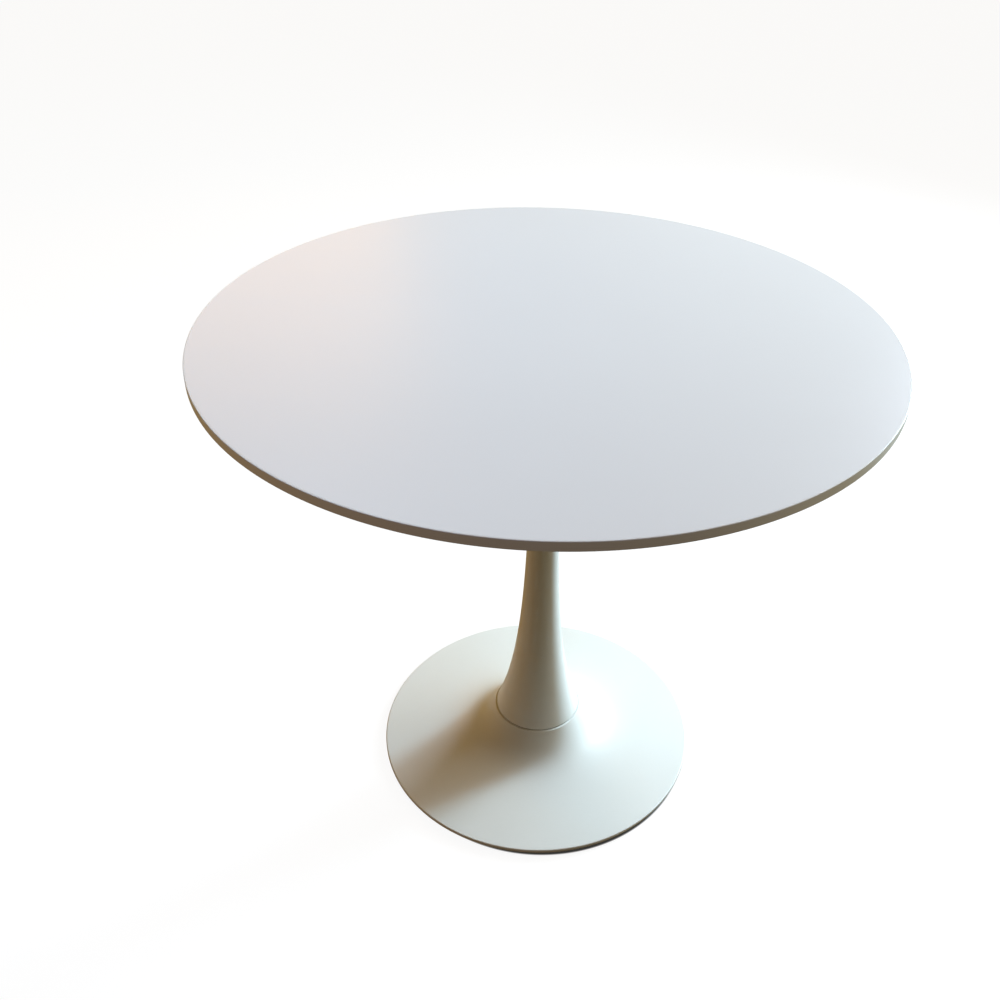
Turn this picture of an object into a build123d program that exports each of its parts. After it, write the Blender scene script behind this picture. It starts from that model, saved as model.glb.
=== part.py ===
"""Round pedestal table: a laminated top, a trumpet column and a spun cover over a heavy floor plate.

Four screw-adjusted glides carry it.

One threaded rod on the axis pulls the mounting plate, the column and the base together.
Millimetres, +Z up, the origin on the floor under the middle of the column.
"""

from build123d import *
import os
from math import cos, exp, hypot, radians, sin

# ---- Driving dimensions ------------------------------------------------------------------------
table_height = 740
top_diameter = 900
top_thickness = 18
base_diameter = 500
seat_height = 68.5  # where the column stands on the base cover
column_foot_radius = 66.5
column_top_radius = 19.8
column_flare_length = 129  # the column's flare fades by 1/e over this height

# ---- Top ---------------------------------------------------------------------------------------
top_radius = top_diameter / 2
laminate = 0.6
band_thickness = 2
band_height = 12
band_arris = 1
band_lower_arris = 0.4
core_radius = top_radius - band_thickness
bevel_width = 28
backing_radius = core_radius - bevel_width
underside_z = table_height - top_thickness
core_top_z = table_height - laminate
core_bottom_z = underside_z + laminate
band_bottom_z = table_height - band_height

# ---- Mounting plate and its fasteners ----------------------------------------------------------
plate_radius = 130
plate_thickness = 4
plate_arris = 1
plate_bottom_z = underside_z - plate_thickness
screw_count = 8
screw_circle_radius = 110
screw_clearance_radius = 3.3
screw_radius = 2.9
screw_length = 15
screw_head_radius = 5.2
screw_head_height = 3.6
screw_head_round = 1.2
screw_drive_flats = 4
screw_drive_depth = 2
screw_washer_radius = 7
screw_washer_thickness = 1.4
insert_radius = 5
insert_bore_radius = 3
insert_length = 12
socket_length = 24
socket_outer_radius = 17.9
socket_inner_radius = 13
socket_lead_in = 2

# ---- Column ------------------------------------------------------------------------------------
column_wall = 1.8
gasket_thickness = 1.5
gasket_inner_radius = 50
gasket_outer_radius = 65.5
column_bottom_z = seat_height + gasket_thickness
column_top_z = plate_bottom_z
foot_ring_thickness = 6
spigot_radius = 41.8
spigot_clearance = 0.2

# ---- Base --------------------------------------------------------------------------------------
base_radius = base_diameter / 2
cover_wall = 1.5
cover_skirt_z = 6
cover_edge_z = 11  # height the cover's slope reaches at the rim
cover_slope = 0.075
cover_flare_length = 22
cover_rim_round = 2
seat_radius = column_foot_radius + 2.5
flange_root = 0.4  # the cover's inside starts this far outside the seat
floor_plate_radius = 234
floor_plate_bottom_z = 6.5
floor_plate_thickness = 4
floor_plate_arris = 0.8
floor_plate_top_z = floor_plate_bottom_z + floor_plate_thickness
access_hole_radius = 30
cushion_height = 2.4
cushion_gap = 0.05
ballast_radius = 150
ballast_bore_radius = 44
ballast_thickness = 6
ballast_screw_count = 4
ballast_screw_circle_radius = 100
ballast_screw_radius = 2.9
ballast_screw_head_radius = 5.8
ballast_screw_gap = 0.1
hub_tube_radius = 38
hub_tube_wall = 4
hub_head_radius = 60
hub_head_thickness = 8
spigot_height = 8
spigot_lead_in = 1.5

# ---- Tie rod -----------------------------------------------------------------------------------
rod_radius = 6
thread_gap = 0.05
rod_hole_radius = 6.5
rod_top_z = underside_z - 1.5
rod_below_nut = 4
rod_lead_in = 1
nut_flats = 18
nut_height = 10
rod_washer_radius = 18
rod_washer_thickness = 3
spring_washer_radius = 10.5
spring_washer_thickness = 2.5
spring_washer_gap = 2

# ---- Glides ------------------------------------------------------------------------------------
glide_count = 4
glide_circle_radius = 185
glide_first_angle = 45
pad_radius = 15
pad_height = 3.5
pad_arris = 0.8
pad_socket_radius = 3.6
pad_socket_depth = 2.2
ball_radius = 3.2
ball_clearance = 0.1
collar_flats = 13
stud_radius = 4
tapped_clearance = 0.05
collar_height = 2.8
stud_length = 7.5


def column_radius(z):
    """The column's outside: a narrow stem plus a flare that fades with height."""
    flare = column_foot_radius - column_top_radius
    return column_top_radius + flare * exp(-(z - column_bottom_z) / column_flare_length)


def column_bore(z):
    """The column's inside, set in by the wall measured square to its surface."""
    slope = (column_radius(z) - column_top_radius) / column_flare_length
    return column_radius(z) - column_wall * hypot(1, slope)


cover_flare = seat_height - cover_edge_z - cover_slope * (base_radius - seat_radius)


def cover_height(r):
    """The cover's outside: a shallow cone plus a flare that climbs to the seat."""
    cone = cover_edge_z + cover_slope * (base_radius - r)
    return cone + cover_flare * exp(-(r - seat_radius) / cover_flare_length)


def cover_inside(r):
    """The point of the cover's inside that faces the outside at radius r."""
    fall = cover_slope + cover_flare / cover_flare_length * exp(-(r - seat_radius) / cover_flare_length)
    length = hypot(1, fall)
    return (r - cover_wall * fall / length, cover_height(r) - cover_wall / length)


def ring_spots(count, radius, first_angle=0):
    """Centres of count features spaced evenly on a circle round the axis."""
    step = 360 / count
    angles = [radians(first_angle + step * i) for i in range(count)]
    return [(radius * cos(a), radius * sin(a)) for a in angles]


screw_spots = ring_spots(screw_count, screw_circle_radius, 360 / screw_count / 2)
glide_spots = ring_spots(glide_count, glide_circle_radius, glide_first_angle)
ballast_screw_spots = ring_spots(ballast_screw_count, ballast_screw_circle_radius)

os.makedirs("parts", exist_ok=True)


def save(builder, name):
    """Labels a finished piece and writes it under its node's name."""
    builder.part.label = name
    export_step(builder.part, f"parts/{name}.step")


# ---- Top: fibreboard core, two skins and an edge band ------------------------------------------
with BuildPart() as top_core:
    with BuildSketch(Plane.XZ):
        with BuildLine():
            Polyline(
                (0, core_bottom_z),
                (backing_radius, core_bottom_z),
                (core_radius, band_bottom_z),
                (core_radius, core_top_z),
                (0, core_top_z),
                close=True,
            )
        make_face()
    revolve(axis=Axis.Z)
    with BuildSketch(Plane.XY.offset(core_bottom_z)):
        with Locations(*screw_spots):
            Circle(insert_radius + thread_gap)
    extrude(amount=insert_length, mode=Mode.SUBTRACT)
save(top_core, "top_core")

with BuildPart() as top_laminate:
    with BuildSketch(Plane.XY.offset(core_top_z)):
        Circle(core_radius)
    extrude(amount=laminate)
save(top_laminate, "top_laminate")

with BuildPart() as backing_laminate:
    with BuildSketch(Plane.XY.offset(underside_z)):
        Circle(backing_radius)
        with Locations(*screw_spots):
            Circle(insert_radius + thread_gap, mode=Mode.SUBTRACT)
    extrude(amount=laminate)
save(backing_laminate, "backing_laminate")

with BuildPart() as edge_band:
    with BuildSketch(Plane.XY.offset(band_bottom_z)):
        Circle(top_radius)
        Circle(core_radius, mode=Mode.SUBTRACT)
    extrude(amount=band_height)
    outer_rims = edge_band.edges().filter_by(GeomType.CIRCLE).group_by(SortBy.RADIUS)[-1].sort_by(Axis.Z)
    fillet(outer_rims[-1], radius=band_arris)
    chamfer(outer_rims[0], band_lower_arris)
save(edge_band, "edge_band")

# ---- Threaded inserts in the core --------------------------------------------------------------
with BuildPart() as insert_nuts:
    with BuildSketch(Plane.XY.offset(underside_z)):
        with Locations(*screw_spots):
            Circle(insert_radius)
            Circle(insert_bore_radius, mode=Mode.SUBTRACT)
    extrude(amount=insert_length)
save(insert_nuts, "insert_nuts")

# ---- Mounting plate, with the socket and nut welded under it -----------------------------------
with BuildPart() as mounting_plate:
    with BuildSketch(Plane.XY.offset(plate_bottom_z)):
        Circle(plate_radius)
        Circle(rod_hole_radius, mode=Mode.SUBTRACT)
        with Locations(*screw_spots):
            Circle(screw_clearance_radius, mode=Mode.SUBTRACT)
    extrude(amount=plate_thickness)
    fillet(mounting_plate.edges().filter_by(GeomType.CIRCLE).group_by(SortBy.RADIUS)[-1], plate_arris)
save(mounting_plate, "mounting_plate")

with BuildPart() as plate_socket:
    with BuildSketch(Plane.XY.offset(plate_bottom_z - socket_length)):
        Circle(socket_outer_radius)
        Circle(socket_inner_radius, mode=Mode.SUBTRACT)
    extrude(amount=socket_length)
    lead_in = plate_socket.edges().filter_by(GeomType.CIRCLE).group_by(SortBy.RADIUS)[-1]
    chamfer(lead_in.sort_by(Axis.Z)[0], socket_lead_in)
save(plate_socket, "plate_socket")

with BuildPart() as plate_nut:
    with BuildSketch(Plane.XY.offset(plate_bottom_z - nut_height)):
        RegularPolygon(nut_flats / 2, 6, major_radius=False)
        Circle(rod_radius + thread_gap, mode=Mode.SUBTRACT)
    extrude(amount=nut_height)
save(plate_nut, "plate_nut")

with BuildPart() as plate_washers:
    with BuildSketch(Plane.XY.offset(plate_bottom_z - screw_washer_thickness)):
        with Locations(*screw_spots):
            Circle(screw_washer_radius)
            Circle(screw_clearance_radius, mode=Mode.SUBTRACT)
    extrude(amount=screw_washer_thickness)
save(plate_washers, "plate_washers")

head_top_z = plate_bottom_z - screw_washer_thickness
with BuildPart() as plate_screws:
    with BuildSketch(Plane.XY.offset(head_top_z - screw_head_height)):
        with Locations(*screw_spots):
            Circle(screw_head_radius)
    extrude(amount=screw_head_height)
    fillet(plate_screws.edges().group_by(Axis.Z)[0], radius=screw_head_round)
    with BuildSketch(Plane.XY.offset(head_top_z - screw_head_height)):
        with Locations(*screw_spots):
            RegularPolygon(screw_drive_flats / 2, 6, major_radius=False)
    extrude(amount=screw_drive_depth, mode=Mode.SUBTRACT)
    with BuildSketch(Plane.XY.offset(head_top_z)):
        with Locations(*screw_spots):
            Circle(screw_radius)
    extrude(amount=screw_length)
save(plate_screws, "plate_screws")

# ---- Column: one spun trumpet with a centring ring welded in its foot --------------------------
flare_steps = [0, 22, 48, 80, 120, 170, 235, 320, 430, 540, column_top_z - column_bottom_z]
column_heights = [column_bottom_z + step for step in flare_steps]
with BuildPart() as column:
    with BuildSketch(Plane.XZ):
        with BuildLine():
            outside = Spline(*[(column_radius(z), z) for z in column_heights])
            inside = Spline(*[(column_bore(z), z) for z in column_heights])
            Line(outside @ 0, inside @ 0)
            Line(outside @ 1, inside @ 1)
        make_face()
    revolve(axis=Axis.Z)
save(column, "column")

ring_top_z = column_bottom_z + foot_ring_thickness
ring_bore = spigot_radius + spigot_clearance
with BuildPart() as column_foot_ring:
    with BuildSketch(Plane.XZ):
        with BuildLine():
            Polyline(
                (ring_bore, column_bottom_z),
                (column_bore(column_bottom_z) - thread_gap, column_bottom_z),
                (column_bore(ring_top_z) - thread_gap, ring_top_z),
                (ring_bore, ring_top_z),
                close=True,
            )
        make_face()
    revolve(axis=Axis.Z)
save(column_foot_ring, "column_foot_ring")

with BuildPart() as seat_gasket:
    with BuildSketch(Plane.XY.offset(seat_height)):
        Circle(gasket_outer_radius)
        Circle(gasket_inner_radius, mode=Mode.SUBTRACT)
    extrude(amount=gasket_thickness)
save(seat_gasket, "seat_gasket")

# ---- Base cover: spun sheet from the seat's flange to the rolled rim ---------------------------
cover_steps = [0, 5, 11, 19, 30, 46, 70, 110, 150, base_radius - seat_radius]
outside_radii = [seat_radius + step for step in cover_steps]
inside_points = [cover_inside(r + flange_root) for r in outside_radii[:-1]]
skirt_inner_radius = base_radius - cover_wall
inside_points.append((skirt_inner_radius, cover_height(base_radius) - cover_wall))
flange_under_z = inside_points[0][1]
flange_bore = spigot_radius + spigot_clearance
with BuildPart() as base_cover:
    with BuildSketch(Plane.XZ):
        with BuildLine():
            outside = Spline(*[(r, cover_height(r)) for r in outside_radii])
            inside = Spline(*inside_points)
            Polyline(outside @ 0, (flange_bore, seat_height), (flange_bore, flange_under_z), inside @ 0)
            Polyline(
                outside @ 1,
                (base_radius, cover_skirt_z),
                (skirt_inner_radius, cover_skirt_z),
                inside @ 1,
            )
        make_face()
    revolve(axis=Axis.Z)
    rim_circles = base_cover.edges().filter_by(GeomType.CIRCLE).group_by(SortBy.RADIUS)
    fillet(rim_circles[-1].sort_by(Axis.Z)[-1], radius=cover_rim_round)
    fillet(rim_circles[-2].sort_by(Axis.Z)[-1], radius=cover_rim_round - cover_wall)
save(base_cover, "base_cover")

# ---- Floor plate, ballast and its screws, rim cushion, and the hub that carries the column ----
floor_plate_underside = Plane.XY.offset(floor_plate_bottom_z)
sink_radius = ballast_screw_head_radius + ballast_screw_gap
sink_depth = ballast_screw_head_radius - ballast_screw_radius
sink_taper = 45
with BuildPart() as floor_plate:
    with BuildSketch(Plane.XY.offset(floor_plate_bottom_z)):
        Circle(floor_plate_radius)
        Circle(access_hole_radius, mode=Mode.SUBTRACT)
        with Locations(*glide_spots):
            Circle(stud_radius + tapped_clearance, mode=Mode.SUBTRACT)
        with Locations(*ballast_screw_spots):
            Circle(ballast_screw_radius + ballast_screw_gap, mode=Mode.SUBTRACT)
    extrude(amount=floor_plate_thickness)
    with BuildSketch(floor_plate_underside):
        with Locations(*ballast_screw_spots):
            Circle(sink_radius)
    extrude(amount=sink_depth, taper=sink_taper, mode=Mode.SUBTRACT)
    chamfer(floor_plate.edges().filter_by(GeomType.CIRCLE).group_by(SortBy.RADIUS)[-1], floor_plate_arris)
save(floor_plate, "floor_plate")

with BuildPart() as ballast_disc:
    with BuildSketch(Plane.XY.offset(floor_plate_top_z)):
        Circle(ballast_radius)
        Circle(ballast_bore_radius, mode=Mode.SUBTRACT)
        with Locations(*ballast_screw_spots):
            Circle(ballast_screw_radius + ballast_screw_gap, mode=Mode.SUBTRACT)
    extrude(amount=ballast_thickness)
    chamfer(ballast_disc.edges().filter_by(GeomType.CIRCLE).group_by(SortBy.RADIUS)[-1], floor_plate_arris)
save(ballast_disc, "ballast_disc")

with BuildPart() as ballast_screws:
    with BuildSketch(floor_plate_underside):
        with Locations(*ballast_screw_spots):
            Circle(ballast_screw_head_radius)
    extrude(amount=sink_depth, taper=sink_taper)
    with BuildSketch(floor_plate_underside):
        with Locations(*ballast_screw_spots):
            Circle(ballast_screw_radius)
    extrude(amount=floor_plate_thickness + ballast_thickness)
    with BuildSketch(floor_plate_underside):
        with Locations(*ballast_screw_spots):
            RegularPolygon(screw_drive_flats / 2, 6, major_radius=False)
    extrude(amount=screw_drive_depth, mode=Mode.SUBTRACT)
save(ballast_screws, "ballast_screws")

with BuildPart() as rim_cushion:
    with BuildSketch(floor_plate_underside):
        Circle(skirt_inner_radius - cushion_gap)
        Circle(floor_plate_radius + cushion_gap, mode=Mode.SUBTRACT)
    extrude(amount=cushion_height)
save(rim_cushion, "rim_cushion")

hub_head_bottom_z = flange_under_z - hub_head_thickness
with BuildPart() as hub_tube:
    with BuildSketch(Plane.XY.offset(floor_plate_top_z)):
        Circle(hub_tube_radius)
        Circle(hub_tube_radius - hub_tube_wall, mode=Mode.SUBTRACT)
    extrude(amount=hub_head_bottom_z - floor_plate_top_z)
save(hub_tube, "hub_tube")

with BuildPart() as hub_head:
    with BuildSketch(Plane.XY.offset(hub_head_bottom_z)):
        Circle(hub_head_radius)
    extrude(amount=hub_head_thickness)
    with BuildSketch(Plane.XY.offset(flange_under_z)):
        Circle(spigot_radius)
    extrude(amount=spigot_height)
    chamfer(hub_head.edges().sort_by(Axis.Z)[-1], spigot_lead_in)
    Hole(radius=rod_hole_radius)
save(hub_head, "hub_head")

# ---- Tie rod with its washer, spring washer and nut under the hub head -------------------------
washer_bottom_z = hub_head_bottom_z - rod_washer_thickness
spring_bottom_z = washer_bottom_z - spring_washer_thickness
nut_bottom_z = spring_bottom_z - nut_height
rod_bottom_z = nut_bottom_z - rod_below_nut
with BuildPart() as tie_rod:
    with BuildSketch(Plane.XY.offset(rod_bottom_z)):
        Circle(rod_radius)
    extrude(amount=rod_top_z - rod_bottom_z)
    chamfer(tie_rod.edges().filter_by(GeomType.CIRCLE), rod_lead_in)
save(tie_rod, "tie_rod")

with BuildPart() as rod_washer:
    with BuildSketch(Plane.XY.offset(washer_bottom_z)):
        Circle(rod_washer_radius)
        Circle(rod_hole_radius, mode=Mode.SUBTRACT)
    extrude(amount=rod_washer_thickness)
save(rod_washer, "rod_washer")

with BuildPart() as spring_washer:
    with BuildSketch(Plane.XY.offset(spring_bottom_z)):
        Circle(spring_washer_radius)
        Circle(rod_hole_radius, mode=Mode.SUBTRACT)
        with Locations((spring_washer_radius, 0)):
            Rectangle(spring_washer_radius, spring_washer_gap, mode=Mode.SUBTRACT)
    extrude(amount=spring_washer_thickness)
save(spring_washer, "spring_washer")

with BuildPart() as rod_nut:
    with BuildSketch(Plane.XY.offset(nut_bottom_z)):
        RegularPolygon(nut_flats / 2, 6, major_radius=False)
        Circle(rod_radius + thread_gap, mode=Mode.SUBTRACT)
    extrude(amount=nut_height)
save(rod_nut, "rod_nut")

# ---- Glides: a threaded stud with a hex collar turns in a pad that stays put --------------------
for number, (x, y) in enumerate(glide_spots, start=1):
    with BuildPart() as glide_pad:
        with BuildSketch(Plane.XY):
            with Locations((x, y)):
                Circle(pad_radius)
        extrude(amount=pad_height)
        fillet(glide_pad.edges(), radius=pad_arris)
        with BuildSketch(Plane.XY.offset(pad_height - pad_socket_depth)):
            with Locations((x, y)):
                Circle(pad_socket_radius)
        extrude(amount=pad_socket_depth, mode=Mode.SUBTRACT)
    save(glide_pad, f"glide_pad_{number}")

    with BuildPart() as glide_stud:
        with BuildSketch(Plane.XY.offset(pad_height - pad_socket_depth + ball_clearance)):
            with Locations((x, y)):
                Circle(ball_radius)
        extrude(amount=pad_socket_depth)
        with BuildSketch(Plane.XY.offset(pad_height + ball_clearance)):
            with Locations((x, y)):
                RegularPolygon(collar_flats / 2, 6, major_radius=False)
        extrude(amount=collar_height)
        with BuildSketch(Plane.XY.offset(pad_height + ball_clearance + collar_height)):
            with Locations((x, y)):
                Circle(stud_radius)
        extrude(amount=stud_length)
    save(glide_stud, f"glide_stud_{number}")
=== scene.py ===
import math

import bmesh
import bpy
import numpy as np
from mathutils import Matrix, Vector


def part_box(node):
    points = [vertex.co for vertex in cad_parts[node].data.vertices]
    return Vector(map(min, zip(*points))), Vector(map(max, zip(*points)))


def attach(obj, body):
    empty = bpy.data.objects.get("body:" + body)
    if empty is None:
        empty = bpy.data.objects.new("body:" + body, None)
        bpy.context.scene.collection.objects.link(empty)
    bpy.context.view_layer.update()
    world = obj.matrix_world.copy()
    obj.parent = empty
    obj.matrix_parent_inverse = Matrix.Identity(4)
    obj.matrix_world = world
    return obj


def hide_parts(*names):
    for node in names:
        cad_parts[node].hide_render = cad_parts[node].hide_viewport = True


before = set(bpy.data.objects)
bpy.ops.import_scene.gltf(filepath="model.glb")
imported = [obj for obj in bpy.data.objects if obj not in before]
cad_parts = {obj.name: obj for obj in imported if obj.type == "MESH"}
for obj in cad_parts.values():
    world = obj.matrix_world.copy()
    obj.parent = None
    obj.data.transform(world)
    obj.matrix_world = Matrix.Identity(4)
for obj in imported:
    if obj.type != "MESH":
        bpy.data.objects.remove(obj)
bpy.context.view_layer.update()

# ==== Floor plate ================================================================================
# A 4 mm steel disc, laser cut, with a hole in the middle for a spanner, four tapped holes for the
# glides and four countersunk ones for the ballast screws. It carries the table. Coated matt black.

MM = 0.001


def rounded(corners, steps=6, hold=0.15 * MM):
    """The outline of a section from its corners, each (radius, height, rounding).

    An arc takes each corner's place, tangent to both sides: it starts rounding / tan(half the angle) from
    the corner, and its centre is on the bisector. A short straight stays beside each arc, so that smooth
    shading keeps out of the flats. An outline that starts and ends on the axis is left open there.
    """
    corners = [np.array(corner, float) for corner in corners]
    closed = corners[0][0] > 0 or corners[-1][0] > 0
    outline = []
    for number, corner in enumerate(corners):
        here, size = corner[:2], corner[2]
        back = corners[number - 1][:2] - here
        ahead = corners[(number + 1) % len(corners)][:2] - here
        if size == 0:
            outline.append(here[None])
            continue
        back_length, ahead_length = np.hypot(*back), np.hypot(*ahead)
        back, ahead = back / back_length, ahead / ahead_length
        half = math.acos(np.clip(back @ ahead, -1, 1)) / 2
        reach = size / math.tan(half)
        bisector = (back + ahead) / np.hypot(*(back + ahead))
        centre = here + bisector * size / math.sin(half)
        turn = math.pi - 2 * half
        along = np.linspace(0, 1, steps + 1)[:, None]
        start, end = here + back * reach - centre, here + ahead * reach - centre
        arc = centre + (np.sin((1 - along) * turn) * start + np.sin(along * turn) * end) / math.sin(turn)
        before = here + back * min(reach + hold, back_length / 2)
        after = here + ahead * min(reach + hold, ahead_length / 2)
        outline += [before[None], arc, after[None]]
    outline = np.concatenate(outline)
    return np.concatenate([outline, outline[:1]]) if closed else outline


def spun(radius, height, count=96, centre=(0, 0)):
    """A grid of points round an upright axis: each row of radii and heights carried round in a circle.

    x is the centre plus radius times the angle's cosine, y the same with the sine. The radius and the
    height may also be given for every angle.
    """
    angle = np.arange(count) * 2 * math.pi / count
    radius = np.broadcast_to(radius if np.ndim(radius) == 2 else radius[:, None], (len(radius), count))
    height = np.broadcast_to(height if np.ndim(height) == 2 else height[:, None], (len(radius), count))
    return np.stack([centre[0] + radius * np.cos(angle), centre[1] + radius * np.sin(angle), height], axis=-1)


def piece(name, surfaces, body, finish, crease=32):
    """One mesh object from closed grids of points, standing for the CAD node of the same name.

    Neighbouring points of a grid make quads. The sum of the corners' triple products is six times the
    volume inside, and where it is negative the quads are turned round, so that every face looks outwards.
    Points that coincide at a seam or a pole are merged.
    """
    points, faces, start = [], [], 0
    for grid in surfaces:
        rows, columns = grid.shape[:2]
        flat = grid.reshape(-1, 3)
        index = np.arange(rows * columns).reshape(rows, columns)
        beside = np.roll(index, -1, axis=1)
        quads = np.stack([index[:-1], beside[:-1], beside[1:], index[1:]], axis=-1).reshape(-1, 4)
        centred = flat - flat.mean(axis=0)
        a, b, c, d = (centred[quads[:, i]] for i in range(4))
        volume = np.einsum("ij,ij->", a, np.cross(b, c)) + np.einsum("ij,ij->", a, np.cross(c, d))
        quads = quads if volume > 0 else quads[:, ::-1]
        points.append(flat)
        faces.append(quads + start)
        start += len(flat)
    mesh = bpy.data.meshes.new(name)
    mesh.from_pydata(np.concatenate(points), [], np.concatenate(faces).tolist())
    mesh.materials.append(finish)
    made = bpy.data.objects.new(name + "_skin", mesh)
    bpy.context.collection.objects.link(made)
    merge(mesh, crease)
    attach(made, body)
    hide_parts(name)
    return made


def merge(mesh, crease):
    """Closes seams and poles, then shades smoothly except across edges sharper than the crease, which is
    in degrees."""
    soup = bmesh.new()
    soup.from_mesh(mesh)
    bmesh.ops.remove_doubles(soup, verts=soup.verts, dist=0.5e-6)
    bmesh.ops.dissolve_degenerate(soup, edges=soup.edges, dist=0.5e-7)
    soup.to_mesh(mesh)
    soup.free()
    mesh.shade_smooth()
    mesh.set_sharp_from_angle(angle=math.radians(crease))


def drill(made, spots, section, crease=32, count=48):
    """Takes upright round holes out of a piece. Each is the solid that the section, (radius, height) from
    below, sweeps round its spot."""
    outline = np.array([(0, section[0][1]), *section, (0, section[-1][1])])
    grids = [spun(outline[:, 0], outline[:, 1], count, spot) for spot in spots]
    points = np.concatenate([grid.reshape(-1, 3) for grid in grids])
    index = np.arange(len(points)).reshape(len(grids), len(outline), count)
    beside = np.roll(index, -1, axis=2)
    quads = np.stack([index[:, :-1], beside[:, :-1], beside[:, 1:], index[:, 1:]], axis=-1).reshape(-1, 4)
    mesh = bpy.data.meshes.new("drill")
    mesh.from_pydata(points, [], quads.tolist())
    merge(mesh, crease)
    cutter = bpy.data.objects.new("drill", mesh)
    bpy.context.collection.objects.link(cutter)
    cut = made.modifiers.new("holes", "BOOLEAN")
    cut.operation, cut.solver, cut.object = "DIFFERENCE", "EXACT", cutter
    bpy.context.view_layer.update()
    drilled = bpy.data.meshes.new_from_object(made.evaluated_get(bpy.context.evaluated_depsgraph_get()))
    made.modifiers.clear()
    made.data = drilled
    bpy.data.objects.remove(cutter)
    drilled.shade_smooth()
    drilled.set_sharp_from_angle(angle=math.radians(crease))


class Wire:
    """A number or colour on its way through a material. Arithmetic on it adds Math nodes to its tree."""

    def __init__(self, tree, socket=None):
        self.tree = tree
        self.socket = socket

    def node(self, kind, settings=None, sockets=None, out=0):
        """Adds a node, sets it up, then gives its sockets their numbers or links. Returns one output."""
        added = self.tree.nodes.new("ShaderNode" + kind)
        for key, value in (settings or {}).items():
            setattr(added, key, value)
        for key, value in (sockets or {}).items():
            if isinstance(value, Wire):
                self.tree.links.new(value.socket, added.inputs[key])
            else:
                added.inputs[key].default_value = value
        return Wire(self.tree, added.outputs[out])

    def maths(self, operation, *values):
        return self.node("Math", {"operation": operation}, dict(enumerate(values)))

    def __add__(self, other):
        return self.maths("ADD", self, other)

    __radd__ = __add__

    def __sub__(self, other):
        return self.maths("SUBTRACT", self, other)

    def __rsub__(self, other):
        return self.maths("SUBTRACT", other, self)

    def __mul__(self, other):
        return self.maths("MULTIPLY", self, other)

    __rmul__ = __mul__

    def __pow__(self, other):
        return self.maths("POWER", self, other)

    def above(self, edge, width):
        """0 below the edge and 1 above it, with a smooth step of the given width between."""
        return self.node("MapRange", {"interpolation_type": "SMOOTHSTEP"}, {
            "Value": self, "From Min": edge - width / 2, "From Max": edge + width / 2})

    def noise(self, scale, detail=2, roughness=0.5, stretch=(1, 1, 1)):
        """Soft noise read at this point, with the scale in waves per metre."""
        where = self.node("Mapping", None, {"Vector": self, "Scale": stretch})
        return self.node("TexNoise", None, {
            "Vector": where, "Scale": scale, "Detail": detail, "Roughness": roughness})

    def spread(self, first, second):
        """A colour between two, by this number from 0 to 1."""
        return self.node("Mix", {"data_type": "RGBA"}, {0: self, 6: (*first, 1), 7: (*second, 1)}, out=2)

    def bump(self, distance, strength, under=None):
        """A surface normal from this height, where 1 stands the given distance proud."""
        sockets = {"Height": self, "Distance": distance, "Strength": strength}
        if under is not None:
            sockets["Normal"] = under
        return self.node("Bump", None, sockets)


def new_finish(name, **fixed):
    """A material with its Principled shader's fixed values set, and the object's own coordinates to read."""
    material = bpy.data.materials.new(name)
    material.use_nodes = True
    tree = material.node_tree
    shader = tree.nodes["Principled BSDF"]
    for key, value in fixed.items():
        shader.inputs[key.replace("_", " ")].default_value = value
    return material, Wire(tree).node("TexCoord", out=3), shader


def feed(shader, **wires):
    """Links wires to the shader's sockets."""
    for key, wire in wires.items():
        wire.tree.links.new(wire.socket, shader.inputs[key.replace("_", " ")])


def black_coating():
    """Matt black powder: a coarse dimpled texture, a little grey where the coat is thin, dull and slightly
    uneven."""
    material, here, shader = new_finish("black_coating", Specular_IOR_Level=0.45)
    dimples = here.noise(900, 3, 0.55)
    clouds = here.noise(14, 3)
    feed(
        shader,
        Base_Color=(dimples * 0.6 + clouds * 0.4).spread((0.012, 0.012, 0.013), (0.045, 0.045, 0.047)),
        Roughness=clouds * 0.16 + dimples * 0.1 + 0.42,
        Normal=dimples.bump(0.12 * MM, 0.7),
    )
    return material


black_steel = black_coating()

plate_low, plate_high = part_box("floor_plate")
plate_section = rounded([
    (0, plate_low[2], 0),
    (plate_high[0], plate_low[2], 1.0 * MM),
    (plate_high[0], plate_high[2], 1.0 * MM),
    (0, plate_high[2], 0),
])
floor_plate = piece("floor_plate", [spun(*plate_section.T, 256)], "table", black_steel)
under_plate, over_plate = plate_low[2], plate_high[2]
spanner_hole, stud_hole, ballast_hole, ballast_sink = 30 * MM, 4.05 * MM, 3 * MM, 5.9 * MM
ballast_circle = 100 * MM
glide_spots = [tuple((np.array(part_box(f"glide_pad_{n}")).mean(axis=0))[:2]) for n in range(1, 5)]
ballast_spots = [(ballast_circle, 0), (0, ballast_circle), (-ballast_circle, 0), (0, -ballast_circle)]
for hole_spots, hole_radius in (([(0, 0)], spanner_hole), (glide_spots, stud_hole)):
    drill(floor_plate, hole_spots, [(hole_radius, under_plate - MM), (hole_radius, over_plate + MM)])
drill(floor_plate, ballast_spots, [
    (ballast_sink + MM, under_plate - MM),
    (ballast_sink, under_plate),
    (ballast_hole, under_plate + ballast_sink - ballast_hole),
    (ballast_hole, over_plate + MM),
])

# ==== Hub tube ===================================================================================
# A short length of thick steel tube that stands on the floor plate, welded round at both ends. The
# weld beads show as rippled collars under the black coating.

tube_low, tube_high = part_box("hub_tube")
tube_wall, weld_bead, tube_count = 4 * MM, 3.5 * MM, 280


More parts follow.
